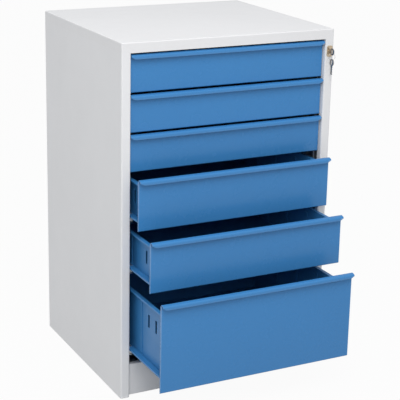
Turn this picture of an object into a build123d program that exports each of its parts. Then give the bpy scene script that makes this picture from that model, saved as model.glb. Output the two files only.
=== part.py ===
from build123d import *
import os

# Steel drawer cabinet with six drawers on roller slides and one lock.
# Millimetres. Origin on the floor below the middle of the cabinet body, drawers open
# towards -Y, +Z up. Three drawers are modelled pulled out.

os.makedirs("parts", exist_ok=True)

# ---- Cabinet body ----
width = 580.0            # outside, left to right
depth = 510.0            # outside, front to back, without the drawers' handles
height = 900.0           # floor to top
sheet = 1.2              # body panels
bend = 2.5               # outside radius of the body's folds
side_bend = 4.0          # outside radius of the side panels' folds and the lid's corners
stile = 24.0             # front face of each side's fold
stile_return = 16.0      # that fold's run back into the cabinet
back_flange = 15.0       # side panels' fold behind
lid_depth = 25.0         # rim of the top panel, down to the drawer opening
lid_return = 14.0        # the rim's fold below the front
plinth_height = 84.0
plinth_setback = 12.0    # behind the stiles' faces
plinth_fold = 12.0
floor_rim = 15.0
floor_gap = 0.5          # plinth's lower fold to the floor panel
panel_gap = 3.0          # clears the insides of the folds

# ---- Posts that carry the rails ----
post_sheet = 1.5
post_depth = 20.0        # side panel to rail
post_length = 30.0       # along the cabinet's depth
front_post_setback = 38.0
rear_post_setback = 35.0
post_slot_width = 5.0
post_slot_height = 12.0
post_slot_pitch = 32.0

# ---- Drawer fronts ----
small_front = 94.0       # three upper drawers
medium_front = 130.0     # two middle drawers
front_sheet = 1.2
front_bend = 2.0         # inside the handle's folds
front_edge = 4.0         # fold round the front's edges
front_setback = 12.0     # behind the stiles' faces
side_gap = 1.5           # front to stile
top_gap = 3.0            # top panel's rim to the upper front
stack_gap = 3.0          # between fronts
plinth_gap = 2.5         # plinth to the lowest front
handle_reach = 12.0      # folded handle, in front of the sheet
handle_fall = 2.5        # slope of its upper face
handle_face = 9.5        # its front face
handle_cut = 15.0        # rounding of that face's lower corners, along the handle

# ---- Drawer trays ----
tray_sheet = 1.0
tray_inset = 42.0        # side panel's outside to the tray's wall
tray_shorter = 55.0      # cabinet's outside depth less the tray's
tray_depth = depth - tray_shorter
tray_lift = 12.0         # front's lower edge to the tray's floor
large_tray_lift = 28.0
tray_drop = 18.0         # front's upper edge to the tray's rim
large_tray_drop = 34.0
tray_bend = 3.0
rim_width = 9.0          # folded rim along both sides
rim_lip = 4.0
divider_slot_width = 9.0
small_slot_height = 24.0
slot_height = 33.0
slot_drop = 24.0         # tray's rim to the divider slots
large_slot_drop = 34.0
slot_setback = 57.0      # front to the first divider slot
large_slot_setback = 62.0
slot_pitch = 41.0
rib_width = 14.0         # pressed ribs in the tray's sides
rib_height = 1.5
rib_margin = 14.0
rib_setback = 136.0
rib_pitch = 100.0

# ---- Roller slides ----
roller_radius = 9.0
roller_width = 10.0
roller_edge = 1.0
roller_gap = 0.3         # round faces to flat faces
roller_rise = 4.0        # tray's floor to the rollers' centres
front_roller_side_gap = 5.2  # rail's web to roller
rear_roller_side_gap = 2.0   # runner's web to roller
front_roller_setback = 23.0
rear_roller_margin = 13.0  # tray's back wall to the rear rollers
axle_radius = 3.0
axle_clearance = 0.06
axle_head_radius = 5.0
axle_head = 1.5
rail_sheet = 1.2
rail_flange = 17.0
rail_front_setback = 17.0
rail_back_gap = 8.0
runner_sheet = 1.2
runner_flange = 16.0     # tray's wall to the flange's edge
runner_strip = 3.2       # strip below the flange's edge that keeps it on the roller
weld_gap = 0.1           # strip to its sheet, filled by the weld
runner_foot = 6.0        # web below the rollers' centres
runner_setback = 5.0     # front's face to the runners

# ---- Drawers as modelled: how far each is pulled out ----
shown_open = [0.0, 0.0, 0.0, 54.5, 124.5, 187.0]

# ---- Lock on the right stile ----
lock_from_side = 12.0
lock_from_top = 56.0
housing_width = 16.0
housing_height = 28.0
housing_plate = 2.0
housing_corner = 5.0
barrel_radius = 6.9
barrel_length = 20.0     # behind the stile's face
barrel_clearance = 0.15
nut_radius = 7.95
nut_length = 3.5
plug_radius = 5.5
plug_clearance = 0.06
plug_nose = 0.8          # in front of the housing
keyway_depth = 19.0
keyway_width = 2.2
keyway_height = 7.4
cam_sheet = 1.6
cam_gap = 0.4
cam_throw = 8.0          # lock's centre to the cam's pin, and the bar's lift
cam_hub = 6.0
cam_arm = 7.0
cam_pin_radius = 2.0

# ---- Locking bar ----
bar_sheet = 2.0
bar_width = 12.0
bar_from_side = 12.0     # side panel's outside to the bar's middle
bar_gap = 0.4            # cam to bar
bar_slot_width = 13.0    # the cam's pin moves along this slot
bar_slot_height = 8.0
bar_head_height = 15.0
bar_head_wall = 2.0
bar_foot_rise = 15.0     # lowest front's lower edge to the bar's end
bar_tab_reach = 16.0     # towards the drawers
bar_tab_height = 9.0
bar_tab_rise = 22.0      # rollers' centres to the tab
catch_rise = 34.0        # rollers' centres to the drawer's catch
catch_height = 5.0
catch_sheet = 2.0
catch_reach = 14.0
catch_gap = 2.1          # bar to catch, along the drawer's travel
guide_sheet = 1.5
guide_height = 16.0
guide_clearance = 0.3
upper_guide_rise = 70.0  # second front's lower edge to the guide's middle
lower_guide_rise = 205.0  # lowest front's lower edge to the guide's middle

# ---- Keys and ring ----
key_sheet = 1.8
blade_height = 7.0
blade_length = 18.0
bow_radius = 9.0
bow_slot_width = 5.0
bow_slot_length = 11.0
key_neck = 1.2           # plug's face to the bow
ring_radius = 9.0        # to the middle of the wire
ring_wire = 0.7
ring_seat = 2.25         # ring's inner top above the middle of the bow's rim
spare_length = 40.0
spare_hang = 0.3         # ring's wire to the spare key's slot

# ---- Places that follow from the sizes above ----
SIDES = (("left", -1), ("right", 1))
front = -depth / 2
back = depth / 2
inner_half = width / 2 - sheet
opening_half = width / 2 - stile
opening_top = height - lid_depth
front_half = opening_half - side_gap
front_face = front + front_setback
tray_half = width / 2 - tray_inset
tray_front = front_face + front_sheet
tray_back = tray_front + tray_depth
post_face = inner_half - post_depth
plinth_face = front + plinth_setback
floor_front = plinth_face + plinth_fold + floor_gap
back_inside = back - 2 * sheet
rail_inner = post_face - rail_flange
rail_back = back_inside - rail_back_gap
rail_front = front + rail_front_setback
front_roller_y = front + front_roller_setback
rear_roller_y = tray_back - rear_roller_margin
front_roller_outer = post_face - rail_sheet - front_roller_side_gap
rear_roller_inner = tray_half + runner_sheet + rear_roller_side_gap

lock_x = width / 2 - lock_from_side
lock_z = height - lock_from_top
housing_face = front - housing_plate
barrel_end = front + barrel_length
cam_front = barrel_end + cam_gap
cam_back = cam_front + cam_sheet
bar_front = cam_back + bar_gap
bar_back = bar_front + bar_sheet
catch_front = bar_back + catch_gap
bar_low = width / 2 - bar_from_side - bar_width / 2
bar_high = bar_low + bar_width

# Large front takes the height that the other fronts leave.
fronts_height = opening_top - top_gap - plinth_height - plinth_gap
large_front = fronts_height - 3 * small_front - 2 * medium_front - 5 * stack_gap
front_heights = [small_front] * 3 + [medium_front] * 2 + [large_front]
tray_lifts = [tray_lift] * 5 + [large_tray_lift]
tray_drops = [tray_drop] * 5 + [large_tray_drop]
slot_heights = [small_slot_height] * 3 + [slot_height] * 3
slot_drops = [slot_drop] * 5 + [large_slot_drop]
slot_setbacks = [slot_setback] * 5 + [large_slot_setback]
slot_counts = [1] * 5 + [2]

front_bottoms = []
next_top = opening_top - top_gap
for front_height in front_heights:
    front_bottoms.append(next_top - front_height)
    next_top -= front_height + stack_gap
roller_heights = [b + lift + roller_rise for b, lift in zip(front_bottoms, tray_lifts)]


def folded(points, radius, thickness, side=Side.LEFT):
    """Draws the section of a folded sheet on one side of a line with rounded corners."""
    with BuildLine() as outline:
        FilletPolyline(*points, radius=radius)
        offset(amount=thickness, side=side)
    make_face(outline.edges())


def block(low, high, mode=Mode.ADD):
    """A straight-sided block between two corners."""
    middle = [(a + b) / 2 for a, b in zip(low, high)]
    size = [b - a for a, b in zip(low, high)]
    with Locations(tuple(middle)):
        Box(*size, mode=mode)


# ---------------------------------------------------------------- cabinet body

# Side panels: one sheet each, folded into the front stile and its return and into the
# flange behind. The right one has the lock's hole.
for side_name, s in SIDES:
    with BuildPart() as side_panel:
        with BuildSketch(Plane.XY):
            folded(
                [
                    (s * opening_half, front + stile_return),
                    (s * opening_half, front),
                    (s * width / 2, front),
                    (s * width / 2, back),
                    (s * (width / 2 - back_flange), back),
                ],
                side_bend,
                sheet,
                Side.LEFT if s > 0 else Side.RIGHT,
            )
        extrude(amount=opening_top)
        if s > 0:
            with BuildSketch(Plane.XZ.offset(-front)):
                with Locations((lock_x, lock_z)):
                    Circle(barrel_radius + barrel_clearance)
            extrude(amount=-2 * sheet, mode=Mode.SUBTRACT)
    side_panel.part.label = f"side_panel_{side_name}"
    export_step(side_panel.part, f"parts/side_panel_{side_name}.step")

# Top panel: a shallow pressed lid that closes the body, its front rim folded back
# above the drawers.
with BuildPart() as top_panel:
    with BuildSketch(Plane.XY.offset(opening_top)):
        Rectangle(width, depth)
    extrude(amount=lid_depth)
    fillet(top_panel.edges().filter_by(Axis.Z), radius=side_bend)
    fillet(top_panel.faces().sort_by(Axis.Z)[-1].edges(), radius=bend)
    offset(amount=-sheet, openings=top_panel.faces().sort_by(Axis.Z)[0])
    block(
        (-opening_half, front + sheet / 2, opening_top),
        (opening_half, front + lid_return, opening_top + sheet),
    )
top_panel.part.label = "top_panel"
export_step(top_panel.part, "parts/top_panel.step")

# Back panel: flat sheet inside the side panels' flanges and the lid's rim.
with BuildPart() as back_panel:
    block(
        (-inner_half + panel_gap, back_inside, 0),
        (inner_half - panel_gap, back - sheet, height - sheet - panel_gap),
    )
back_panel.part.label = "back_panel"
export_step(back_panel.part, "parts/back_panel.step")

# Floor panel: a shallow pan that the cabinet stands on, its rims against the side panels
# and the back panel.
with BuildPart() as floor_panel:
    block((-inner_half, floor_front, 0), (inner_half, back_inside, floor_rim))
    fillet(floor_panel.edges().filter_by(Axis.Z), radius=side_bend)
    offset(amount=-sheet, openings=floor_panel.faces().sort_by(Axis.Z)[-1])
floor_panel.part.label = "floor_panel"
export_step(floor_panel.part, "parts/floor_panel.step")

# Plinth: folded sheet between the stiles, its lower fold on the floor.
with BuildPart() as plinth_panel:
    with BuildSketch(Plane.YZ.offset(-opening_half)):
        folded(
            [
                (plinth_face + plinth_fold, 0),
                (plinth_face, 0),
                (plinth_face, plinth_height),
                (plinth_face + plinth_fold, plinth_height),
            ],
            bend,
            sheet,
            Side.RIGHT,
        )
    extrude(amount=2 * opening_half)
plinth_panel.part.label = "plinth_panel"
export_step(plinth_panel.part, "parts/plinth_panel.step")

# Posts: folded channels inside the body, from the floor panel's rim to the top panel,
# slotted for the rails' fixings.
post_height = height - sheet - panel_gap - floor_rim
post_slots = int((post_height - 2 * post_slot_pitch) / post_slot_pitch)
front_post_y = front + front_post_setback
rear_post_y = back_inside - rear_post_setback - post_length
for post_name, post_y in (("front_posts", front_post_y), ("rear_posts", rear_post_y)):
    with BuildPart() as posts:
        for side_name, s in SIDES:
            with BuildSketch(Plane.XY.offset(floor_rim)):
                folded(
                    [
                        (s * inner_half, post_y),
                        (s * post_face, post_y),
                        (s * post_face, post_y + post_length),
                        (s * inner_half, post_y + post_length),
                    ],
                    bend,
                    post_sheet,
                    Side.RIGHT if s > 0 else Side.LEFT,
                )
            extrude(amount=post_height)
            with BuildSketch(Plane.YZ.offset(s * post_face)):
                with Locations((post_y + post_length / 2, floor_rim + post_height / 2)):
                    with GridLocations(0, post_slot_pitch, 1, post_slots):
                        SlotOverall(post_slot_height, post_slot_width, rotation=90)
            extrude(amount=2 * post_sheet, both=True, mode=Mode.SUBTRACT)
    posts.part.label = post_name
    export_step(posts.part, f"parts/{post_name}.step")

# ---------------------------------------------------------------- roller slides in the cabinet

# Rails: a channel on each side for every drawer, open towards the drawer. The drawer's rear
# roller runs between the flanges, and the front roller turns on a rivet in the web.
for number, roller_z in enumerate(roller_heights, start=1):
    rail_low = roller_z - roller_radius - roller_gap - rail_sheet
    rail_high = roller_z + roller_radius + 2 * roller_gap + runner_sheet + rail_sheet
    with BuildPart() as rails:
        for side_name, s in SIDES:
            with BuildSketch(Plane.XZ.offset(-rail_back)):
                folded(
                    [
                        (s * rail_inner, rail_low),
                        (s * post_face, rail_low),
                        (s * post_face, rail_high),
                        (s * rail_inner, rail_high),
                    ],
                    rail_sheet * 1.5,
                    rail_sheet,
                    Side.LEFT if s > 0 else Side.RIGHT,
                )
            extrude(amount=rail_back - rail_front)
            with BuildSketch(Plane.YZ.offset(s * post_face)):
                with Locations((front_roller_y, roller_z)):
                    Circle(axle_radius + axle_clearance)
            extrude(amount=2 * rail_sheet, both=True, mode=Mode.SUBTRACT)
    rails.part.label = f"drawer_rails_{number}"
    export_step(rails.part, f"parts/drawer_rails_{number}.step")


def disc(x, y, z, radius, length, bore=0):
    """A round bar along X from x, negative lengths to the left."""
    with BuildSketch(Plane.YZ.offset(x)) as outline:
        with Locations((y, z)):
            Circle(radius)
            if bore > 0:
                Circle(bore, mode=Mode.SUBTRACT)
    extrude(outline.sketch, amount=length)


def roller_pair(inner, y, z):
    """Two plastic rollers on one line, left and right, bored for their rivets."""
    for side_name, s in SIDES:
        bore = axle_radius + axle_clearance
        disc(s * inner, y, z, roller_radius, s * roller_width, bore)


def round_rims(part):
    """Rounds the rollers' outer edges."""
    rims = part.edges().filter_by(GeomType.CIRCLE)
    fillet(rims.filter_by(lambda e: e.radius > roller_radius - 0.01), roller_edge)


for number, roller_z in enumerate(roller_heights, start=1):
    with BuildPart() as front_rollers:
        roller_pair(front_roller_outer - roller_width, front_roller_y, roller_z)
        round_rims(front_rollers)
    front_rollers.part.label = f"front_rollers_{number}"
    export_step(front_rollers.part, f"parts/front_rollers_{number}.step")

# Rivets of the front rollers: a head outside the rail's web, a stem through web and roller
# and a head inside the roller.
with BuildPart() as front_rivets:
    stem_end = front_roller_outer - roller_width - roller_gap
    for roller_z in roller_heights:
        for side_name, s in SIDES:
            disc(s * post_face, front_roller_y, roller_z, axle_head_radius, s * axle_head)
            disc(s * post_face, front_roller_y, roller_z, axle_radius, s * (stem_end - post_face))
            disc(s * stem_end, front_roller_y, roller_z, axle_head_radius, -s * axle_head)
front_rivets.part.label = "front_roller_rivets"
export_step(front_rivets.part, "parts/front_roller_rivets.step")

# ---------------------------------------------------------------- drawers

for number, bottom in enumerate(front_bottoms, start=1):
    row = number - 1
    opened = shown_open[row]
    top = bottom + front_heights[row]
    face = front_face - opened
    box_front = tray_front - opened
    box_back = tray_back - opened
    box_bottom = bottom + tray_lifts[row]
    box_top = top - tray_drops[row]
    roller_z = roller_heights[row]

    # Front: painted sheet with a narrow fold round its lower and side edges and a
    # full-width handle folded forwards and down along its upper edge.
    with BuildPart() as drawer_front:
        lip_y = face - handle_reach + front_sheet
        lip_z = top - handle_fall - front_sheet
        lip_low = top - handle_fall - handle_face
        with BuildSketch(Plane.YZ.offset(-front_half)):
            folded(
                [
                    (face + front_edge, bottom),
                    (face, bottom),
                    (face, top - front_sheet),
                    (lip_y, lip_z),
                    (lip_y, lip_low),
                ],
                front_bend,
                front_sheet,
                Side.RIGHT,
            )
        extrude(amount=2 * front_half)
        for side_name, s in SIDES:
            fold = sorted([s * front_half, s * (front_half - front_sheet)])
            fold_top = top - 2 * front_bend - front_sheet
            block((fold[0], face + front_sheet / 2, bottom), (fold[1], face + front_edge, fold_top))
        with BuildSketch(Plane.XZ.offset(-(face - front_sheet))):
            for side_name, s in SIDES:
                inboard = s * (front_half - handle_cut)
                with Locations(((inboard + s * front_half) / 2, lip_low + handle_face / 2)):
                    Rectangle(handle_cut, handle_face)
            for side_name, s in SIDES:
                with Locations((s * (front_half - handle_cut), lip_low + handle_face)):
                    Ellipse(handle_cut, handle_face, mode=Mode.SUBTRACT)
        extrude(amount=handle_reach, mode=Mode.SUBTRACT)
    drawer_front.part.label = f"drawer_front_{number}"
    export_step(drawer_front.part, f"parts/drawer_front_{number}.step")

    # Tray: folded sheet box with an outward rim along both sides, slots for divider
    # walls, pressed stiffening ribs and, on the right, the catch of the lock.
    with BuildPart() as tray:
        block((-tray_half, box_front, box_bottom), (tray_half, box_back, box_top))
        fillet(tray.edges().filter_by(Axis.Z), radius=tray_bend)
        fillet(tray.faces().sort_by(Axis.Z)[0].edges(), radius=tray_bend)
        offset(amount=-tray_sheet, openings=tray.faces().sort_by(Axis.Z)[-1])
        for side_name, s in SIDES:
            with BuildSketch(Plane.XZ.offset(-(box_back - tray_bend))):
                folded(
                    [
                        (s * (tray_half + rim_width), box_top - rim_lip),
                        (s * (tray_half + rim_width), box_top),
                        (s * (tray_half - tray_sheet), box_top),
                    ],
                    1.5 * tray_sheet,
                    tray_sheet,
                    Side.LEFT if s > 0 else Side.RIGHT,
                )
            extrude(amount=tray_depth - 2 * tray_bend)
            rib_low = box_bottom + rib_margin
            rib_high = box_top - rib_margin
            for rib in range(3):
                rib_y = face + rib_setback + rib * rib_pitch
                inner = tray_half - tray_sheet - rib_height
                span = sorted([s * inner, s * (tray_half - tray_sheet)])
                rib_side = rib_width / 2
                block((span[0], rib_y - rib_side, rib_low), (span[1], rib_y + rib_side, rib_high))
                span = sorted([s * (inner + tray_sheet), s * tray_half])
                rib_side = rib_width / 2 - tray_sheet
                block(
                    (span[0], rib_y - rib_side, rib_low + tray_sheet),
                    (span[1], rib_y + rib_side, rib_high - tray_sheet),
                    Mode.SUBTRACT,
                )
        slot_top = box_top - slot_drops[row]
        slot_low = slot_top - slot_heights[row]
        for slot in range(slot_counts[row]):
            setback = slot_setbacks[row] + slot * slot_pitch
            for slot_y in (face + setback, box_back - setback + slot_setbacks[row] / 2):
                block(
                    (-tray_half - 1, slot_y - divider_slot_width / 2, slot_low),
                    (tray_half + 1, slot_y + divider_slot_width / 2, slot_top),
                    Mode.SUBTRACT,
                )
        block(
            (tray_half - tray_sheet / 2, catch_front - opened, roller_z + catch_rise),
            (
                tray_half + catch_reach,
                catch_front - opened + catch_sheet,
                roller_z + catch_rise + catch_height,
            ),
        )
    tray.part.label = f"drawer_tray_{number}"
    export_step(tray.part, f"parts/drawer_tray_{number}.step")

    # Runners: an angle along each side of the tray with a narrow strip welded below its
    # flange's edge. The flange rolls on the cabinet's front roller, and the web carries the
    # rear roller's rivet.
    with BuildPart() as runners:
        flange_top = roller_z + roller_radius + roller_gap + runner_sheet
        for side_name, s in SIDES:
            with BuildSketch(Plane.XZ.offset(-(box_back - front_sheet))):
                folded(
                    [
                        (s * tray_half, roller_z - runner_foot),
                        (s * tray_half, flange_top),
                        (s * (tray_half + runner_flange), flange_top),
                    ],
                    1.5 * runner_sheet,
                    runner_sheet,
                    Side.RIGHT if s > 0 else Side.LEFT,
                )
            extrude(amount=box_back - front_sheet - face - runner_setback)
            edge = tray_half + runner_flange
            span = sorted([s * edge, s * (edge - runner_sheet)])
            strip_top = flange_top - runner_sheet - weld_gap
            block(
                (span[0], face + runner_setback, strip_top - runner_strip),
                (span[1], box_back - front_sheet, strip_top),
            )
            with BuildSketch(Plane.YZ.offset(s * tray_half)):
                with Locations((rear_roller_y - opened, roller_z)):
                    Circle(axle_radius + axle_clearance)
            extrude(amount=2 * runner_sheet, both=True, mode=Mode.SUBTRACT)
    runners.part.label = f"drawer_runners_{number}"
    export_step(runners.part, f"parts/drawer_runners_{number}.step")

    # Rear rollers on their rivets.
    with BuildPart() as rear_rollers:
        roller_pair(rear_roller_inner, rear_roller_y - opened, roller_z)
        round_rims(rear_rollers)
    rear_rollers.part.label = f"rear_rollers_{number}"
    export_step(rear_rollers.part, f"parts/rear_rollers_{number}.step")

    with BuildPart() as rear_rivets:
        stem_end = rear_roller_inner + roller_width + roller_gap
        stem = stem_end - tray_half
        for side_name, s in SIDES:
            disc(s * tray_half, rear_roller_y - opened, roller_z, axle_radius, s * stem)
            disc(s * stem_end, rear_roller_y - opened, roller_z, axle_head_radius, s * axle_head)
    rear_rivets.part.label = f"rear_roller_rivets_{number}"
    export_step(rear_rivets.part, f"parts/rear_roller_rivets_{number}.step")

# ---------------------------------------------------------------- lock

# Housing: oval plate on the stile and a barrel through it.
with BuildPart() as lock_housing:
    with BuildSketch(Plane.XZ.offset(-front)):
        with Locations((lock_x, lock_z)):
            RectangleRounded(housing_width, housing_height, housing_corner)
    extrude(amount=housing_plate)
    fillet(lock_housing.faces().sort_by(Axis.Y)[0].edges(), radius=0.6)
    with BuildSketch(Plane.XZ.offset(-barrel_end)):
        with Locations((lock_x, lock_z)):
            Circle(barrel_radius)
    extrude(amount=barrel_length)
    with BuildSketch(Plane.XZ.offset(-barrel_end)):
        with Locations((lock_x, lock_z)):
            Circle(plug_radius + plug_clearance)
    extrude(amount=barrel_length + housing_plate, mode=Mode.SUBTRACT)
lock_housing.part.label = "lock_housing"
export_step(lock_housing.part, "parts/lock_housing.step")

# Nut that clamps the housing behind the stile.
with BuildPart() as lock_nut:
    with BuildSketch(Plane.XZ.offset(-(front + sheet + nut_length))):
        with Locations((lock_x, lock_z)):
            Circle(nut_radius)
            Circle(barrel_radius, mode=Mode.SUBTRACT)
    extrude(amount=nut_length)
lock_nut.part.label = "lock_nut"
export_step(lock_nut.part, "parts/lock_nut.step")

# Plug that turns in the housing, with its keyway.
plug_face = housing_face - plug_nose
with BuildPart() as lock_plug:
    with BuildSketch(Plane.XZ.offset(-cam_front)):
        with Locations((lock_x, lock_z)):
            Circle(plug_radius)
    extrude(amount=cam_front - plug_face)
    block(
        (lock_x - keyway_width / 2, plug_face, lock_z - keyway_height / 2),
        (lock_x + keyway_width / 2, plug_face + keyway_depth, lock_z + keyway_height / 2),
        Mode.SUBTRACT,
    )
lock_plug.part.label = "lock_plug"
export_step(lock_plug.part, "parts/lock_plug.step")

# Cam on the plug's end, its pin in the locking bar's slot.
with BuildPart() as lock_cam:
    with BuildSketch(Plane.XZ.offset(-cam_back)):
        with Locations((lock_x, lock_z)):
            Circle(cam_hub)
        with Locations((lock_x - cam_throw, lock_z)):
            Circle(cam_arm / 2)
        with Locations((lock_x - cam_throw / 2, lock_z)):
            Rectangle(cam_throw, cam_arm)
    extrude(amount=cam_sheet)
    with BuildSketch(Plane.XZ.offset(-(bar_back + 1))):
        with Locations((lock_x - cam_throw, lock_z)):
            Circle(cam_pin_radius)
    extrude(amount=bar_back + 1 - cam_back)
lock_cam.part.label = "lock_cam"
export_step(lock_cam.part, "parts/lock_cam.step")

# Locking bar: flat strip with one welded tab for each drawer and a slotted head. The cam lifts it
# until the tabs stand in front of the drawers' catches.
with BuildPart() as locking_bar:
    slot_middle = lock_x - cam_throw / 2
    head_low = slot_middle - bar_slot_width / 2 - bar_head_wall
    with BuildSketch(Plane.XZ.offset(-bar_back)):
        bar_bottom = front_bottoms[-1] + bar_foot_rise
        with Locations(((bar_low + bar_high) / 2, (bar_bottom + lock_z) / 2)):
            Rectangle(bar_width, lock_z - bar_bottom)
        with Locations(((head_low + bar_high) / 2, lock_z)):
            Rectangle(bar_high - head_low, bar_head_height)
        for roller_z in roller_heights:
            tab_x = bar_low - weld_gap - bar_tab_reach / 2
            with Locations((tab_x, roller_z + bar_tab_rise + bar_tab_height / 2)):
                Rectangle(bar_tab_reach, bar_tab_height)
        with Locations((slot_middle, lock_z)):
            SlotOverall(bar_slot_width, bar_slot_height, mode=Mode.SUBTRACT)
    extrude(amount=bar_sheet)
locking_bar.part.label = "locking_bar"
export_step(locking_bar.part, "parts/locking_bar.step")

# Guides: a folded loop round the bar, on a strip from the front post.
guide_heights = (
    front_bottoms[1] + upper_guide_rise,
    front_bottoms[-1] + lower_guide_rise,
)
with BuildPart() as bar_guides:
    wall = guide_clearance + guide_sheet
    for middle in guide_heights:
        low = middle - guide_height / 2
        high = middle + guide_height / 2
        block(
            (bar_low - wall, bar_front - wall, low),
            (bar_high + wall, bar_back + wall, high),
        )
        block(
            (bar_low - guide_clearance, bar_front - guide_clearance, low),
            (bar_high + guide_clearance, bar_back + guide_clearance, high),
            Mode.SUBTRACT,
        )
        block(
            (bar_high + guide_clearance, bar_back, low),
            (bar_high + wall, front_post_y, high),
        )
        block(
            (bar_low, front_post_y - guide_sheet, low),
            (bar_high + wall, front_post_y, high),
        )
bar_guides.part.label = "bar_guides"
export_step(bar_guides.part, "parts/bar_guides.step")

# ---------------------------------------------------------------- keys and ring

bow_y = plug_face - key_neck - bow_radius
bow_rim = (bow_radius - bow_slot_length / 2) / 2
rim_z = lock_z - bow_radius + bow_rim
ring_z = rim_z + ring_seat - (ring_radius - ring_wire)
spare_pivot_z = ring_z - ring_radius
spare_bow_z = spare_pivot_z + ring_wire + spare_hang - bow_slot_length / 2

# Key in the lock: upright round bow with a slot for the ring.
with BuildPart() as key:
    with BuildSketch(Plane.YZ.offset(lock_x - key_sheet / 2)):
        with Locations((bow_y, lock_z)):
            Circle(bow_radius)
        blade_end = plug_face + blade_length
        with Locations(((bow_y + blade_end) / 2, lock_z)):
            Rectangle(blade_end - bow_y, blade_height)
        with Locations((bow_y, lock_z)):
            SlotOverall(bow_slot_length, bow_slot_width, rotation=90, mode=Mode.SUBTRACT)
    extrude(amount=key_sheet)
key.part.label = "key"
export_step(key.part, "parts/key.step")

with BuildPart() as key_ring:
    with Locations(Location((lock_x, bow_y, ring_z), (90, 0, 0))):
        Torus(ring_radius, ring_wire)
key_ring.part.label = "key_ring"
export_step(key_ring.part, "parts/key_ring.step")

# Spare key: hangs from the ring, blade down, with a cut row along one edge.
with BuildPart() as spare_key:
    with BuildSketch(Plane.YZ.offset(lock_x - key_sheet / 2)):
        with Locations((bow_y, spare_bow_z)):
            Circle(bow_radius)
        tip_z = spare_bow_z + bow_radius - spare_length
        with Locations((bow_y, (spare_bow_z + tip_z) / 2)):
            Rectangle(blade_height, spare_bow_z - tip_z)
        with Locations((bow_y, spare_bow_z)):
            SlotOverall(bow_slot_length, bow_slot_width, rotation=90, mode=Mode.SUBTRACT)
        for notch in range(4):
            with Locations((bow_y - blade_height / 2, tip_z + 3.5 + 4 * notch)):
                Rectangle(2.4, 2.4, rotation=45, mode=Mode.SUBTRACT)
    extrude(amount=key_sheet)
spare_key.part.label = "spare_key"
export_step(spare_key.part, "parts/spare_key.step")
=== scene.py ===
import math

import bmesh
import bpy
from mathutils import Matrix, Vector


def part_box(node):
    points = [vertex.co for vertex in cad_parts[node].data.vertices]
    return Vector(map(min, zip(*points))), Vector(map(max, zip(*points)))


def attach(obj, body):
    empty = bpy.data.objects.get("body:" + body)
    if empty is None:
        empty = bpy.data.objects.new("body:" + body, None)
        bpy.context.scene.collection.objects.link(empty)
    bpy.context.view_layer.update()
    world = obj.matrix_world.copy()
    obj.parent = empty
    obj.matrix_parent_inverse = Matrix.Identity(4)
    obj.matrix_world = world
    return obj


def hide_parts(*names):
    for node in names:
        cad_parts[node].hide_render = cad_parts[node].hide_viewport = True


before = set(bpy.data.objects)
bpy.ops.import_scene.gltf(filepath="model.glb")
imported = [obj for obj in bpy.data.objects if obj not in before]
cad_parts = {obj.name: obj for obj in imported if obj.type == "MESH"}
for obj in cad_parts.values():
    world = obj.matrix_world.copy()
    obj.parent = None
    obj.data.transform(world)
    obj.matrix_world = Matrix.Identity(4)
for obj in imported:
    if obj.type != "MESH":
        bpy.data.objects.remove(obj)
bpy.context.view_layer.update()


# ---- Side panels, top, back, floor and plinth ---------------------------------------------
# The body is folded from 1.2 mm sheet steel and spot-welded, then powder-coated light grey.
# The coat is matt with a very fine peel, and paler along the bends: a little thinner there,
# and a painted highlight.

BODY_GREY = (0.662, 0.660, 0.670, 1.0)
# Pale colour mixed in along bends and edges: partly a thinner coat, partly a painted
# highlight.
THIN_COAT_AND_HIGHLIGHT = (0.80, 0.86, 0.90, 1.0)
PEEL_RELIEF = 0.0002


def socket(group, name, kind, way, value=None):
    """Adds a named input or output to a node group."""
    made = group.interface.new_socket(name=name, in_out=way, socket_type=kind)
    if value is not None:
        made.default_value = value


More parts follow.
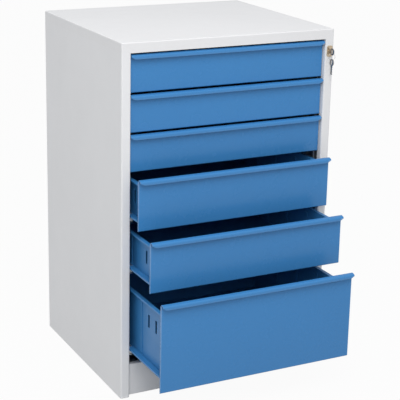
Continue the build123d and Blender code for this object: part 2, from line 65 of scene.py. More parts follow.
def build_coat_texture():
    """Node group for sprayed and baked coats: fine peel, cloudy tone and small specks."""
    group = bpy.data.node_groups.new("coat_texture", "ShaderNodeTree")
    socket(group, "Color", "NodeSocketColor", "INPUT", (0.5, 0.5, 0.5, 1.0))
    socket(group, "Cloud", "NodeSocketFloat", "INPUT", 0.03)
    socket(group, "Speck", "NodeSocketFloat", "INPUT", 0.04)
    socket(group, "Roughness", "NodeSocketFloat", "INPUT", 0.5)
    socket(group, "Color", "NodeSocketColor", "OUTPUT")
    socket(group, "Roughness", "NodeSocketFloat", "OUTPUT")
    socket(group, "Height", "NodeSocketFloat", "OUTPUT")
    nodes, links = group.nodes, group.links
    given = nodes.new("NodeGroupInput")
    result = nodes.new("NodeGroupOutput")
    place = nodes.new("ShaderNodeTexCoord")

    peel = nodes.new("ShaderNodeTexNoise")
    peel.inputs["Scale"].default_value = 620.0
    peel.inputs["Detail"].default_value = 2.5
    cloud = nodes.new("ShaderNodeTexNoise")
    cloud.inputs["Scale"].default_value = 5.0
    cloud.inputs["Detail"].default_value = 3.0
    speck = nodes.new("ShaderNodeTexNoise")
    speck.inputs["Scale"].default_value = 1500.0
    speck.inputs["Detail"].default_value = 1.0
    rub = nodes.new("ShaderNodeTexNoise")
    rub.inputs["Scale"].default_value = 26.0
    rub.inputs["Detail"].default_value = 6.0
    for texture in (peel, cloud, speck, rub):
        links.new(place.outputs["Object"], texture.inputs["Vector"])

    cloud_tone = nodes.new("ShaderNodeMapRange")
    cloud_tone.inputs["From Min"].default_value = 0.3
    cloud_tone.inputs["From Max"].default_value = 0.7
    cloud_tone.inputs["To Min"].default_value = -1.0
    links.new(cloud.outputs["Fac"], cloud_tone.inputs["Value"])
    cloud_part = nodes.new("ShaderNodeMath")
    cloud_part.operation = "MULTIPLY"
    links.new(cloud_tone.outputs["Result"], cloud_part.inputs[0])
    links.new(given.outputs["Cloud"], cloud_part.inputs[1])
    speck_tone = nodes.new("ShaderNodeMapRange")
    speck_tone.inputs["From Min"].default_value = 0.36
    speck_tone.inputs["From Max"].default_value = 0.64
    speck_tone.inputs["To Min"].default_value = -1.0
    links.new(speck.outputs["Fac"], speck_tone.inputs["Value"])
    speck_part = nodes.new("ShaderNodeMath")
    speck_part.operation = "MULTIPLY"
    links.new(speck_tone.outputs["Result"], speck_part.inputs[0])
    links.new(given.outputs["Speck"], speck_part.inputs[1])
    tone = nodes.new("ShaderNodeMath")
    tone.operation = "ADD"
    links.new(cloud_part.outputs[0], tone.inputs[0])
    links.new(speck_part.outputs[0], tone.inputs[1])
    bright = nodes.new("ShaderNodeMath")
    bright.operation = "ADD"
    bright.inputs[1].default_value = 1.0
    links.new(tone.outputs[0], bright.inputs[0])
    shade = nodes.new("ShaderNodeVectorMath")
    shade.operation = "SCALE"
    links.new(given.outputs["Color"], shade.inputs[0])
    links.new(bright.outputs[0], shade.inputs["Scale"])
    links.new(shade.outputs[0], result.inputs["Color"])

    rough = nodes.new("ShaderNodeMapRange")
    rough.inputs["From Min"].default_value = 0.3
    rough.inputs["From Max"].default_value = 0.7
    rough.inputs["To Min"].default_value = -0.05
    rough.inputs["To Max"].default_value = 0.05
    links.new(rub.outputs["Fac"], rough.inputs["Value"])
    rough_sum = nodes.new("ShaderNodeMath")
    rough_sum.operation = "ADD"
    links.new(rough.outputs["Result"], rough_sum.inputs[0])
    links.new(given.outputs["Roughness"], rough_sum.inputs[1])
    links.new(rough_sum.outputs[0], result.inputs["Roughness"])
    links.new(peel.outputs["Fac"], result.inputs["Height"])
    return group


coat_texture = build_coat_texture()


def coat(name, color, roughness, cloud, speck, peel, pale_edge_highlight):
    """A coat of paint on sheet steel, paler over bends and edges: a thinner coat there, and a
    painted highlight.
    """
    material = bpy.data.materials.new(name)
    material.use_nodes = True
    nodes, links = material.node_tree.nodes, material.node_tree.links
    shader = nodes["Principled BSDF"]
    texture = nodes.new("ShaderNodeGroup")
    texture.node_tree = coat_texture
    texture.inputs["Color"].default_value = color
    texture.inputs["Cloud"].default_value = cloud
    texture.inputs["Speck"].default_value = speck
    texture.inputs["Roughness"].default_value = roughness
    surface = nodes.new("ShaderNodeNewGeometry")
    # Painted highlight with a thinner coat along bends and edges, taken from the mesh's
    # pointiness.
    bend_highlight = nodes.new("ShaderNodeMapRange")
    bend_highlight.inputs["From Min"].default_value = 0.53
    bend_highlight.inputs["From Max"].default_value = 0.66
    bend_highlight.inputs["To Max"].default_value = pale_edge_highlight
    links.new(surface.outputs["Pointiness"], bend_highlight.inputs["Value"])
    highlight_mix = nodes.new("ShaderNodeMix")
    highlight_mix.data_type = "RGBA"
    highlight_mix.inputs["B"].default_value = THIN_COAT_AND_HIGHLIGHT
    links.new(bend_highlight.outputs["Result"], highlight_mix.inputs["Factor"])
    links.new(texture.outputs["Color"], highlight_mix.inputs["A"])
    links.new(highlight_mix.outputs["Result"], shader.inputs["Base Color"])
    links.new(texture.outputs["Roughness"], shader.inputs["Roughness"])
    relief = nodes.new("ShaderNodeBump")
    relief.inputs["Strength"].default_value = peel
    relief.inputs["Distance"].default_value = PEEL_RELIEF
    links.new(texture.outputs["Height"], relief.inputs["Height"])
    links.new(relief.outputs["Normal"], shader.inputs["Normal"])
    return material


def dress(node, material):
    """Gives a CAD node's object its material."""
    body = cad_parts[node]
    body.data.materials.clear()
    body.data.materials.append(material)


# Its pale bends are partly a painted highlight.
body_coat = coat("light_grey_powder_coat", BODY_GREY, roughness=0.52, cloud=0.012, speck=0.02,
                 peel=0.30, pale_edge_highlight=0.10)
for panel in ("side_panel_left", "side_panel_right", "top_panel", "back_panel",
              "floor_panel", "plinth_panel"):
    dress(panel, body_coat)


# ---- Posts, rails, bar guides --------------------------------------------------------------
# Channels of zinc-plated strip that stand inside the body and carry the drawers' rails. They
# are left unpainted and show the zinc's cloudy crystals and fine rolling lines.

ZINC_GREY = (0.60, 0.62, 0.65, 1.0)
ROLLED_UPRIGHT = (1.0, 1.0, 0.03)
ROLLED_LENGTHWAYS = (1.0, 0.03, 1.0)
ZINC_RELIEF = 0.00005
DRAWERS = range(1, 7)


def build_rolled_lines():
    """Node group for drawn or brushed metal: fine lines across one direction, and clouds."""
    group = bpy.data.node_groups.new("rolled_lines", "ShaderNodeTree")
    socket(group, "Color", "NodeSocketColor", "INPUT", (0.6, 0.6, 0.6, 1.0))
    socket(group, "Stretch", "NodeSocketVector", "INPUT", (1.0, 1.0, 1.0))
    socket(group, "Line", "NodeSocketFloat", "INPUT", 0.10)
    socket(group, "Crystal", "NodeSocketFloat", "INPUT", 0.10)
    socket(group, "Roughness", "NodeSocketFloat", "INPUT", 0.35)
    socket(group, "Color", "NodeSocketColor", "OUTPUT")
    socket(group, "Roughness", "NodeSocketFloat", "OUTPUT")
    socket(group, "Height", "NodeSocketFloat", "OUTPUT")
    nodes, links = group.nodes, group.links
    given = nodes.new("NodeGroupInput")
    result = nodes.new("NodeGroupOutput")
    place = nodes.new("ShaderNodeTexCoord")
    along = nodes.new("ShaderNodeVectorMath")
    along.operation = "MULTIPLY"
    links.new(place.outputs["Object"], along.inputs[0])
    links.new(given.outputs["Stretch"], along.inputs[1])
    line = nodes.new("ShaderNodeTexNoise")
    line.inputs["Scale"].default_value = 700.0
    line.inputs["Detail"].default_value = 3.0
    links.new(along.outputs[0], line.inputs["Vector"])
    crystal = nodes.new("ShaderNodeTexVoronoi")
    crystal.inputs["Scale"].default_value = 95.0
    crystal.inputs["Randomness"].default_value = 1.0
    links.new(place.outputs["Object"], crystal.inputs["Vector"])
    parts = []
    for texture, output, amount in ((line, "Fac", "Line"), (crystal, "Color", "Crystal")):
        spread = nodes.new("ShaderNodeMapRange")
        spread.inputs["From Min"].default_value = 0.25
        spread.inputs["From Max"].default_value = 0.75
        spread.inputs["To Min"].default_value = -1.0
        links.new(texture.outputs[output], spread.inputs["Value"])
        part = nodes.new("ShaderNodeMath")
        part.operation = "MULTIPLY"
        links.new(spread.outputs["Result"], part.inputs[0])
        links.new(given.outputs[amount], part.inputs[1])
        parts.append(part)
    tone = nodes.new("ShaderNodeMath")
    tone.operation = "ADD"
    links.new(parts[0].outputs[0], tone.inputs[0])
    links.new(parts[1].outputs[0], tone.inputs[1])
    bright = nodes.new("ShaderNodeMath")
    bright.operation = "ADD"
    bright.inputs[1].default_value = 1.0
    links.new(tone.outputs[0], bright.inputs[0])
    shade = nodes.new("ShaderNodeVectorMath")
    shade.operation = "SCALE"
    links.new(given.outputs["Color"], shade.inputs[0])
    links.new(bright.outputs[0], shade.inputs["Scale"])
    links.new(shade.outputs[0], result.inputs["Color"])
    rough = nodes.new("ShaderNodeMath")
    rough.operation = "MULTIPLY_ADD"
    rough.inputs[1].default_value = -0.5
    links.new(tone.outputs[0], rough.inputs[0])
    links.new(given.outputs["Roughness"], rough.inputs[2])
    links.new(rough.outputs[0], result.inputs["Roughness"])
    links.new(line.outputs["Fac"], result.inputs["Height"])
    return group


rolled_lines = build_rolled_lines()


def bare_metal(name, color, stretch, line, crystal, roughness, relief_height):
    """Plated or polished metal with the lines of its rolling, turning or brushing."""
    material = bpy.data.materials.new(name)
    material.use_nodes = True
    nodes, links = material.node_tree.nodes, material.node_tree.links
    shader = nodes["Principled BSDF"]
    shader.inputs["Metallic"].default_value = 1.0
    texture = nodes.new("ShaderNodeGroup")
    texture.node_tree = rolled_lines
    texture.inputs["Color"].default_value = color
    texture.inputs["Stretch"].default_value = stretch
    texture.inputs["Line"].default_value = line
    texture.inputs["Crystal"].default_value = crystal
    texture.inputs["Roughness"].default_value = roughness
    links.new(texture.outputs["Color"], shader.inputs["Base Color"])
    links.new(texture.outputs["Roughness"], shader.inputs["Roughness"])
    relief = nodes.new("ShaderNodeBump")
    relief.inputs["Strength"].default_value = 0.35
    relief.inputs["Distance"].default_value = relief_height
    links.new(texture.outputs["Height"], relief.inputs["Height"])
    links.new(relief.outputs["Normal"], shader.inputs["Normal"])
    return material


post_zinc = bare_metal("zinc_on_upright_strip", ZINC_GREY, ROLLED_UPRIGHT, line=0.07,
                       crystal=0.10, roughness=0.42, relief_height=ZINC_RELIEF)
rail_zinc = bare_metal("zinc_on_rail_strip", ZINC_GREY, ROLLED_LENGTHWAYS, line=0.07,
                       crystal=0.10, roughness=0.40, relief_height=ZINC_RELIEF)
for upright in ("front_posts", "rear_posts", "bar_guides"):
    dress(upright, post_zinc)
for number in DRAWERS:
    dress(f"drawer_rails_{number}", rail_zinc)


# ---- Front and rear rollers ----------------------------------------------------------------
# White moulded nylon wheels, 18 mm across and 10 mm wide, with a hub and a sunk ring on both
# faces. The front pair of each drawer turns in the rails, the rear pair rides on the drawer.

ROLLER_RADIUS = 0.009
ROLLER_BORE = 0.00312
ROLLER_WIDTH = 0.010
ROLLER_ROUND = 0.0011
HUB_RADIUS = 0.0048
GROOVE_INNER = 0.0051
GROOVE_OUTER = 0.0068
RIM_INNER = 0.0072
GROOVE_DEPTH = 0.0011
HUB_STEP = 0.0009
NYLON_WHITE = (0.86, 0.86, 0.83, 1.0)


def settle(bm, name, material, body, finish, *nodes, smooth=35.0):
    """Makes the finished piece from its bmesh, hangs it on its body and hides the CAD nodes it
    takes the place of.
    """
    mesh = bpy.data.meshes.new(name)
    bm.to_mesh(mesh)
    bm.free()
    for polygon in mesh.polygons:
        polygon.use_smooth = True
    mesh.set_sharp_from_angle(angle=math.radians(smooth))
    mesh.materials.append(material)
    piece = bpy.data.objects.new(name, mesh)
    bpy.context.scene.collection.objects.link(piece)
    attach(piece, body)
    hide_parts(*nodes)
    return piece


def turned(bm, section, middle, side, steps=40):
    """Turns a section, pairs of place along X and radius, about a line along X."""
    made = []
    for along, radius in section:
        made.append(bm.verts.new(middle + Vector((side * along, 0.0, radius))))
    edges = [bm.edges.new((a, b)) for a, b in zip(made, made[1:])]
    if section[0][1] > 0.0:
        edges.append(bm.edges.new((made[-1], made[0])))
    bmesh.ops.spin(bm, geom=made + edges, cent=middle, axis=(1, 0, 0), angle=math.tau,
                   steps=steps, use_merge=True)
    bmesh.ops.remove_doubles(bm, verts=bm.verts[:], dist=1e-7)


def roller_pair(number, where):
    """One pair of rollers, left and right."""
    node = f"{where}_rollers_{number}"
    low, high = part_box(node)
    middle_y = (low.y + high.y) / 2
    middle_z = (low.z + high.z) / 2
    w, r, b = ROLLER_WIDTH, ROLLER_RADIUS, ROLLER_BORE
    outer_face = [(0.0, b), (0.0, HUB_RADIUS), (HUB_STEP, GROOVE_INNER),
                  (GROOVE_DEPTH, GROOVE_OUTER), (0.0, RIM_INNER), (0.0, r - ROLLER_ROUND),
                  (0.0003, r - 0.0004), (ROLLER_ROUND, r)]
    section = outer_face + [(w - along, radius) for along, radius in reversed(outer_face)]
    bm = bmesh.new()
    for side, inner in ((-1, low.x), (1, high.x)):
        middle = Vector((inner, middle_y, middle_z))
        turned(bm, section, middle, -side)
    bmesh.ops.recalc_face_normals(bm, faces=bm.faces[:])
    settle(bm, f"{where}_roller_wheels_{number}", nylon, f"{where}_roller_body_{number}",
           "nylon", node, smooth=50.0)


nylon = bpy.data.materials.new("white_nylon")
nylon.use_nodes = True
nylon_nodes, nylon_links = nylon.node_tree.nodes, nylon.node_tree.links
nylon_shader = nylon_nodes["Principled BSDF"]
nylon_shader.inputs["Subsurface Weight"].default_value = 0.12
nylon_shader.inputs["Subsurface Radius"].default_value = (0.002, 0.0018, 0.0015)
nylon_texture = nylon_nodes.new("ShaderNodeGroup")
nylon_texture.node_tree = coat_texture
nylon_texture.inputs["Color"].default_value = NYLON_WHITE
nylon_texture.inputs["Cloud"].default_value = 0.03
nylon_texture.inputs["Speck"].default_value = 0.015
nylon_texture.inputs["Roughness"].default_value = 0.38
nylon_relief = nylon_nodes.new("ShaderNodeBump")
nylon_relief.inputs["Strength"].default_value = 0.15
nylon_relief.inputs["Distance"].default_value = 0.0001
nylon_links.new(nylon_texture.outputs["Color"], nylon_shader.inputs["Base Color"])
nylon_links.new(nylon_texture.outputs["Roughness"], nylon_shader.inputs["Roughness"])
nylon_links.new(nylon_texture.outputs["Height"], nylon_relief.inputs["Height"])
nylon_links.new(nylon_relief.outputs["Normal"], nylon_shader.inputs["Normal"])
for number in DRAWERS:
    roller_pair(number, "front")
    roller_pair(number, "rear")


# ---- Rivets of the rollers -----------------------------------------------------------------
# Plated steel rivets, closed cold: a domed head outside and a flat closing head at the other
# end of a 6 mm stem. Those in front are fast in the rails, those behind in the runners.

RIVET_GREY = (0.58, 0.59, 0.61, 1.0)
EVEN_GRAIN = (1.0, 1.0, 1.0)
TURNED_RELIEF = 0.00003
RIVET_STEM = 0.0030
RIVET_HEAD = 0.0050
RIVET_HEAD_HEIGHT = 0.0015
RIVET_PLAY = 0.0003
REAR_RIVET_TIP = 0.248

rivet_steel = bare_metal("plated_rivet_steel", RIVET_GREY, EVEN_GRAIN, line=0.06,
                         crystal=0.05, roughness=0.34, relief_height=TURNED_RELIEF)


def rivet(bm, head_x, tip_x, y, z, tip_head):
    """A rivet along X with a domed head at head_x and a plain or headed tip."""
    toward = 1.0 if tip_x > head_x else -1.0
    run = abs(tip_x - head_x)
    section = [(0.0, 0.0), (0.0, 0.0022), (0.0004, 0.0039), (0.0010, 0.0049),
               (RIVET_HEAD_HEIGHT, RIVET_HEAD), (RIVET_HEAD_HEIGHT, RIVET_STEM)]
    if tip_head:
        under = run - RIVET_HEAD_HEIGHT
        section += [(under, RIVET_STEM), (under, 0.0049), (run - 0.0011, RIVET_HEAD),
                    (run - 0.0003, 0.0041), (run, 0.0020), (run, 0.0)]
    else:
        section += [(run - 0.0003, RIVET_STEM), (run, 0.0027), (run, 0.0)]
    turned(bm, section, Vector((head_x, y, z)), toward, steps=28)


rivets = bmesh.new()
low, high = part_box("front_roller_rivets")
for number in DRAWERS:
    roller_low, roller_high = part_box(f"front_rollers_{number}")
    y = (roller_low.y + roller_high.y) / 2
    z = (roller_low.z + roller_high.z) / 2
    inner = roller_high.x - ROLLER_WIDTH - RIVET_PLAY - RIVET_HEAD_HEIGHT
    for side in (-1, 1):
        rivet(rivets, side * high.x, side * inner, y, z, True)
bmesh.ops.recalc_face_normals(rivets, faces=rivets.faces[:])
settle(rivets, "front_axle_rivets", rivet_steel, "cabinet", "rivet_steel",
       "front_roller_rivets", smooth=50.0)
for number in DRAWERS:
    low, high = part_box(f"rear_roller_rivets_{number}")
    y, z = (low.y + high.y) / 2, (low.z + high.z) / 2
    rivets = bmesh.new()
    for side in (-1, 1):
        rivet(rivets, side * high.x, side * REAR_RIVET_TIP, y, z, False)
    bmesh.ops.recalc_face_normals(rivets, faces=rivets.faces[:])
    settle(rivets, f"rear_axle_rivets_{number}", rivet_steel, f"drawer_{number}",
           "rivet_steel", f"rear_roller_rivets_{number}", smooth=50.0)


# ---- Drawer fronts -------------------------------------------------------------------------
# One blue-painted sheet each: narrow folds behind the lower and side edges, and along the top
# a handle folded forwards and down, its lower corners cut round. The tray is welded behind.

FRONT_BLUE = (0.042, 0.194, 0.448, 1.0)
FRONT_SHEET = 0.0012
FRONT_HALF = 0.2645
FRONT_FOLD = 0.004
FOLD_BELOW_TOP = 0.0052
FRONT_BEND = 0.0026
SIDE_BEND = 0.0010
CUT_EDGE = 0.0003
HANDLE_REACH = 0.012
HANDLE_FALL = 0.0025
HANDLE_FACE = 0.0095
HANDLE_CUT = 0.015
HANDLE_END = 0.0042
HANDLE_STATIONS = (0.0002, 0.0012, 0.003, 0.0055, 0.0085, 0.012, HANDLE_CUT)

# The pale fold edges of the fronts are mostly a painted highlight on the bends.
front_coat = coat("blue_satin_coat", FRONT_BLUE, roughness=0.26, cloud=0.012, speck=0.02,
                  peel=0.14, pale_edge_highlight=0.20)
front_coat.node_tree.nodes["Principled BSDF"].inputs["Specular IOR Level"].default_value = 0.3


def sheet_edges(piece):
    """Thickens a folded skin to its sheet and takes the sharpness off the cut edges."""
    wall = piece.modifiers.new("sheet", "SOLIDIFY")
    wall.thickness = FRONT_SHEET
    wall.offset = -1.0
    wall.use_even_offset = True
    round_edge = piece.modifiers.new("edges", "BEVEL")
    round_edge.width = CUT_EDGE
    round_edge.segments = 2
    round_edge.limit_method = "ANGLE"
    round_edge.angle_limit = math.radians(50.0)


def drawer_front(number):
    """The folded front of one drawer."""
    low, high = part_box(f"drawer_front_{number}")
    bottom, top = low.z, high.z
    face = low.y + HANDLE_REACH
    crest = Vector((0.0, face - HANDLE_REACH + FRONT_SHEET, top - HANDLE_FALL - FRONT_SHEET))
    foot = top - HANDLE_FALL - HANDLE_FACE
    bm = bmesh.new()
    line = [(face + FRONT_FOLD, bottom), (face, bottom), (face, top - FRONT_SHEET),
            (crest.y, crest.z), (crest.y, foot)]
    made = [bm.verts.new((-FRONT_HALF, y, z)) for y, z in line]
    edges = [bm.edges.new((a, b)) for a, b in zip(made, made[1:])]
    grown = bmesh.ops.extrude_edge_only(bm, edges=edges)["geom"]
    bmesh.ops.translate(bm, vec=(2 * FRONT_HALF, 0, 0),
                        verts=[g for g in grown if isinstance(g, bmesh.types.BMVert)])
    folds = [e for e in bm.edges if len(e.link_faces) == 2]
    bmesh.ops.bevel(bm, geom=folds, offset=FRONT_BEND, segments=4, profile=0.5, affect="EDGES",
                    material=-1)
    for inset in HANDLE_STATIONS:
        for side in (-1, 1):
            bmesh.ops.bisect_plane(bm, geom=bm.verts[:] + bm.edges[:] + bm.faces[:],
                                   plane_co=(side * (FRONT_HALF - inset), 0, 0),
                                   plane_no=(1, 0, 0))
    for v in bm.verts:
        if v.co.y < crest.y + 1e-5 and v.co.z < foot + 1e-5:
            across = max(0.0, (abs(v.co.x) - (FRONT_HALF - HANDLE_CUT)) / HANDLE_CUT)
            rise = 1.0 - math.sqrt(max(0.0, 1.0 - across * across))
            v.co.z += min(rise * HANDLE_FACE, HANDLE_FACE - HANDLE_END)
    fold_top = top - FOLD_BELOW_TOP
    bmesh.ops.bisect_plane(bm, geom=bm.verts[:] + bm.edges[:] + bm.faces[:],
                           plane_co=(0, 0, fold_top), plane_no=(0, 0, 1))
    sides = [e for e in bm.edges if len(e.link_faces) == 1
             and all(abs(abs(v.co.x) - FRONT_HALF) < 1e-6 and abs(v.co.y - face) < 1e-5
                     and v.co.z < fold_top + 1e-5 for v in e.verts)]
    grown = bmesh.ops.extrude_edge_only(bm, edges=sides)["geom"]
    bmesh.ops.translate(bm, vec=(0, FRONT_FOLD, 0),
                        verts=[g for g in grown if isinstance(g, bmesh.types.BMVert)])
    corners = [e for e in bm.edges if len(e.link_faces) == 2
               and all(abs(abs(v.co.x) - FRONT_HALF) < 1e-6 and abs(v.co.y - face) < 1e-5
                       for v in e.verts)]
    bmesh.ops.bevel(bm, geom=corners, offset=SIDE_BEND, segments=3, profile=0.5,
                    affect="EDGES", material=-1)
    bmesh.ops.recalc_face_normals(bm, faces=bm.faces[:])
    widest = max(bm.faces, key=lambda f: f.calc_area())
    if widest.normal.y > 0:
        bmesh.ops.reverse_faces(bm, faces=bm.faces[:])
    piece = settle(bm, f"blue_front_{number}", front_coat, f"drawer_{number}", "front_paint",
                   f"drawer_front_{number}", smooth=40.0)
    sheet_edges(piece)


for number in DRAWERS:
    drawer_front(number)


# ---- Drawer trays and runners --------------------------------------------------------------
# Folded boxes of 1 mm sheet with an outward rim, slots for divider walls and pressed ribs,
# and an angle along each side that runs on the rollers. The blue is duller than the fronts'.

TRAY_BLUE = (0.030, 0.165, 0.390, 1.0)

tray_coat = coat("blue_tray_coat", TRAY_BLUE, roughness=0.40, cloud=0.025, speck=0.03,
                 peel=0.30, pale_edge_highlight=0.0)
for number in DRAWERS:
    dress(f"drawer_tray_{number}", tray_coat)
    dress(f"drawer_runners_{number}", tray_coat)


# ---- Locking bar and cam -------------------------------------------------------------------
# A flat zinc-plated strip with a tab for each drawer, lifted by the cam's pin. Both are
# punched and tumbled, so their edges are slightly rounded.

PUNCHED_EDGE = 0.0003
CAM_EDGE = 0.0002


def softened(node, name, material, body, finish, width, segments=2):
    """A copy of a punched or turned CAD piece with its sharp edges taken off."""
    bm = bmesh.new()
    bm.from_mesh(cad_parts[node].data)
    bmesh.ops.remove_doubles(bm, verts=bm.verts[:], dist=1e-6)
    bmesh.ops.dissolve_limit(bm, angle_limit=math.radians(1.0), verts=bm.verts[:],
                             edges=bm.edges[:])
    sharp = [e for e in bm.edges if len(e.link_faces) == 2
             and e.calc_face_angle(0.0) > math.radians(40.0)]
    bmesh.ops.bevel(bm, geom=sharp, offset=width, segments=segments, profile=0.5,
                    affect="EDGES", material=-1, clamp_overlap=True)
    return settle(bm, name, material, body, finish, node, smooth=35.0)


softened("locking_bar", "lifting_bar", post_zinc, "locking_bar", "zinc_steel", PUNCHED_EDGE)
softened("lock_cam", "pinned_cam", rail_zinc, "lock_core", "zinc_steel", CAM_EDGE)


# ---- Lock in the right stile ---------------------------------------------------------------
# A turned housing with an oval face plate, satin nickel over brass, clamped by a nut behind
# the stile. The plug turns in it and its nose stands just proud of the plate.

NICKEL_ON_BRASS = (0.56, 0.45, 0.32, 1.0)
BRUSHED_UPRIGHT = (1.0, 1.0, 0.08)
LOCK_EDGE = 0.0003

satin_nickel = bare_metal("satin_nickel_on_brass", NICKEL_ON_BRASS, BRUSHED_UPRIGHT, line=0.10,
                          crystal=0.02, roughness=0.34, relief_height=TURNED_RELIEF)
softened("lock_housing", "lock_face_plate", satin_nickel, "cabinet", "lock_metal", LOCK_EDGE)
softened("lock_nut", "clamping_nut", rivet_steel, "cabinet", "rivet_steel", LOCK_EDGE)
softened("lock_plug", "lock_barrel_plug", satin_nickel, "lock_core", "lock_metal", LOCK_EDGE)


# ---- Keys and ring -------------------------------------------------------------------------
# Two stamped keys, plated steel with a slotted round bow, held by a split ring of two turns
# of wire. One is in the lock, the spare hangs from the ring.

KEY_GREY = (0.36, 0.34, 0.32, 1.0)
WIRE_GREY = (0.42, 0.41, 0.40, 1.0)
KEY_GRAIN = (1.0, 1.0, 0.10)
KEY_EDGE = 0.00035
KEY_RELIEF = 0.00004
WIRE_RELIEF = 0.00002
RING_WIRE = 0.00034
RING_INSET = 0.0007
RING_STEPS = 128

key_steel = bare_metal("plated_key_steel", KEY_GREY, KEY_GRAIN, line=0.10, crystal=0.03,
                       roughness=0.30, relief_height=KEY_RELIEF)
ring_steel = bare_metal("bright_ring_wire", WIRE_GREY, EVEN_GRAIN, line=0.05, crystal=0.0,
                        roughness=0.20, relief_height=WIRE_RELIEF)
softened("key", "lock_key", key_steel, "lock_core", "key_steel", KEY_EDGE, segments=3)
softened("spare_key", "hanging_spare_key", key_steel, "spare_key", "key_steel", KEY_EDGE,
         segments=3)

low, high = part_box("key_ring")
ring_middle = (low + high) / 2
ring_radius = (high.x - low.x) / 2 - RING_INSET
bm = bmesh.new()
bmesh.ops.create_circle(bm, cap_ends=False, segments=12, radius=RING_WIRE)
bmesh.ops.translate(bm, vec=ring_middle + Vector((ring_radius, -RING_WIRE, 0)),
                    verts=bm.verts[:])
bmesh.ops.spin(bm, geom=bm.verts[:] + bm.edges[:], cent=ring_middle, axis=(0, 1, 0),
               dvec=(0, 2 * RING_WIRE / RING_STEPS, 0), angle=2 * math.tau, steps=RING_STEPS,
               use_merge=False)
wire_ends = [e for e in bm.edges if len(e.link_faces) == 1]
bmesh.ops.holes_fill(bm, edges=wire_ends, sides=0)
bmesh.ops.recalc_face_normals(bm, faces=bm.faces[:])
settle(bm, "split_ring", ring_steel, "key_ring", "ring_steel", "key_ring", smooth=60.0)


# ---- Studio --------------------------------------------------------------------------------
# White floor and surroundings, and three soft lights: a large one high in front, a weaker one
# lower in front and to the left, and a faint one on the left, behind the fronts' plane. The
# camera stands where the photograph was taken from.

FLOOR_SIZE = 15.0
SKY_STRENGTH = 0.80
FLOOR_GLOW = 0.95
CAMERA_PLACE = (-1.4322, -2.8726, 1.4232)
CAMERA_SIDE = math.radians(27.32)
CAMERA_DOWN = math.radians(16.55)
CAMERA_ROLL = math.radians(1.24)
CAMERA_LENS = 112.76

scene = bpy.context.scene
floor_mesh = bpy.data.meshes.new("studio_floor")
bm = bmesh.new()
bmesh.ops.create_grid(bm, x_segments=1, y_segments=1, size=FLOOR_SIZE)
bm.to_mesh(floor_mesh)
bm.free()
floor = bpy.data.objects.new("studio_floor", floor_mesh)
scene.collection.objects.link(floor)
floor_paint = bpy.data.materials.new("pale_studio_floor")
floor_paint.use_nodes = True
floor_mesh.materials.append(floor_paint)
nodes, links = floor_paint.node_tree.nodes, floor_paint.node_tree.links
nodes.clear()
matt = nodes.new("ShaderNodeBsdfDiffuse")
matt.inputs["Color"].default_value = (0.50, 0.50, 0.50, 1.0)
glow = nodes.new("ShaderNodeEmission")
glow.inputs["Color"].default_value = (1.0, 1.0, 1.0, 1.0)
glow.inputs["Strength"].default_value = 1.0
seen = nodes.new("ShaderNodeLightPath")
seen_mirror = nodes.new("ShaderNodeMath")
seen_mirror.operation = "MAXIMUM"
links.new(seen.outputs["Is Camera Ray"], seen_mirror.inputs[0])
links.new(seen.outputs["Is Glossy Ray"], seen_mirror.inputs[1])
seen_through = nodes.new("ShaderNodeMath")
seen_through.operation = "MAXIMUM"
links.new(seen_mirror.outputs[0], seen_through.inputs[0])
links.new(seen.outputs["Is Transmission Ray"], seen_through.inputs[1])
share = nodes.new("ShaderNodeMath")
share.operation = "MULTIPLY"
share.inputs[1].default_value = FLOOR_GLOW
links.new(seen_through.outputs[0], share.inputs[0])
blend = nodes.new("ShaderNodeMixShader")
links.new(share.outputs[0], blend.inputs[0])
links.new(matt.outputs[0], blend.inputs[1])
links.new(glow.outputs[0], blend.inputs[2])
floor_out = nodes.new("ShaderNodeOutputMaterial")
links.new(blend.outputs[0], floor_out.inputs["Surface"])

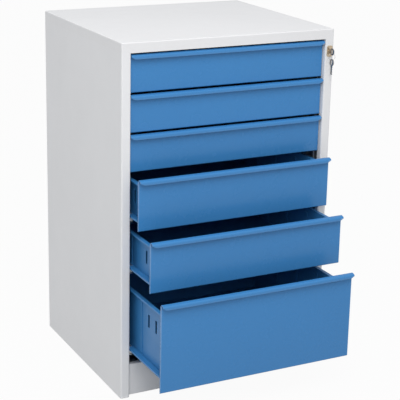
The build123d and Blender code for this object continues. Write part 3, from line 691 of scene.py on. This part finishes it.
world = bpy.data.worlds.new("white_studio")
scene.world = world
world.use_nodes = True
nodes, links = world.node_tree.nodes, world.node_tree.links
nodes.clear()
sky = nodes.new("ShaderNodeBackground")
sky.inputs["Color"].default_value = (0.97, 0.985, 1.0, 1.0)
sky.inputs["Strength"].default_value = SKY_STRENGTH
white = nodes.new("ShaderNodeBackground")
white.inputs["Strength"].default_value = 1.0
white.inputs["Color"].default_value = (1.0, 1.0, 1.0, 1.0)
seen = nodes.new("ShaderNodeLightPath")
blend = nodes.new("ShaderNodeMixShader")
links.new(seen.outputs["Is Camera Ray"], blend.inputs[0])
links.new(sky.outputs[0], blend.inputs[1])
links.new(white.outputs[0], blend.inputs[2])
world_out = nodes.new("ShaderNodeOutputWorld")
links.new(blend.outputs[0], world_out.inputs["Surface"])


def soft_light(name, place, target, size, power):
    """A square soft light that points at a target."""
    lamp = bpy.data.lights.new(name, "AREA")
    lamp.shape = "SQUARE"
    lamp.size = size
    lamp.energy = power
    lamp.color = (1.0, 0.995, 0.985)
    stand = bpy.data.objects.new(name, lamp)
    scene.collection.objects.link(stand)
    stand.location = place
    aim = Vector(target) - Vector(place)
    stand.rotation_euler = aim.to_track_quat("-Z", "Y").to_euler()


soft_light("key_light", (-0.7, -1.9, 3.1), (0.0, -0.2, 0.7), size=1.6, power=46.0)
soft_light("front_fill", (-1.3, -2.5, 1.9), (0.0, -0.3, 0.4), size=1.2, power=19.0)
soft_light("left_fill", (-2.4, 1.0, 1.3), (-0.29, -0.1, 0.4), size=1.0, power=3.5)

forward = Vector((math.sin(CAMERA_SIDE) * math.cos(CAMERA_DOWN),
                  math.cos(CAMERA_SIDE) * math.cos(CAMERA_DOWN), -math.sin(CAMERA_DOWN)))
level = forward.cross(Vector((0, 0, 1))).normalized()
upward = level.cross(forward)
right = level * math.cos(CAMERA_ROLL) + upward * math.sin(CAMERA_ROLL)
above = upward * math.cos(CAMERA_ROLL) - level * math.sin(CAMERA_ROLL)
lens = bpy.data.cameras.new("photo_camera")
lens.sensor_width = 36.0
lens.lens = CAMERA_LENS
lens.shift_y = -0.05
lens.clip_start = 0.05
lens.clip_end = 60.0
camera = bpy.data.objects.new("photo_camera", lens)
scene.collection.objects.link(camera)
turn = Matrix((right, above, -forward)).transposed().to_4x4()
camera.matrix_world = Matrix.Translation(CAMERA_PLACE) @ turn
scene.camera = camera
scene.view_settings.view_transform = "Standard"
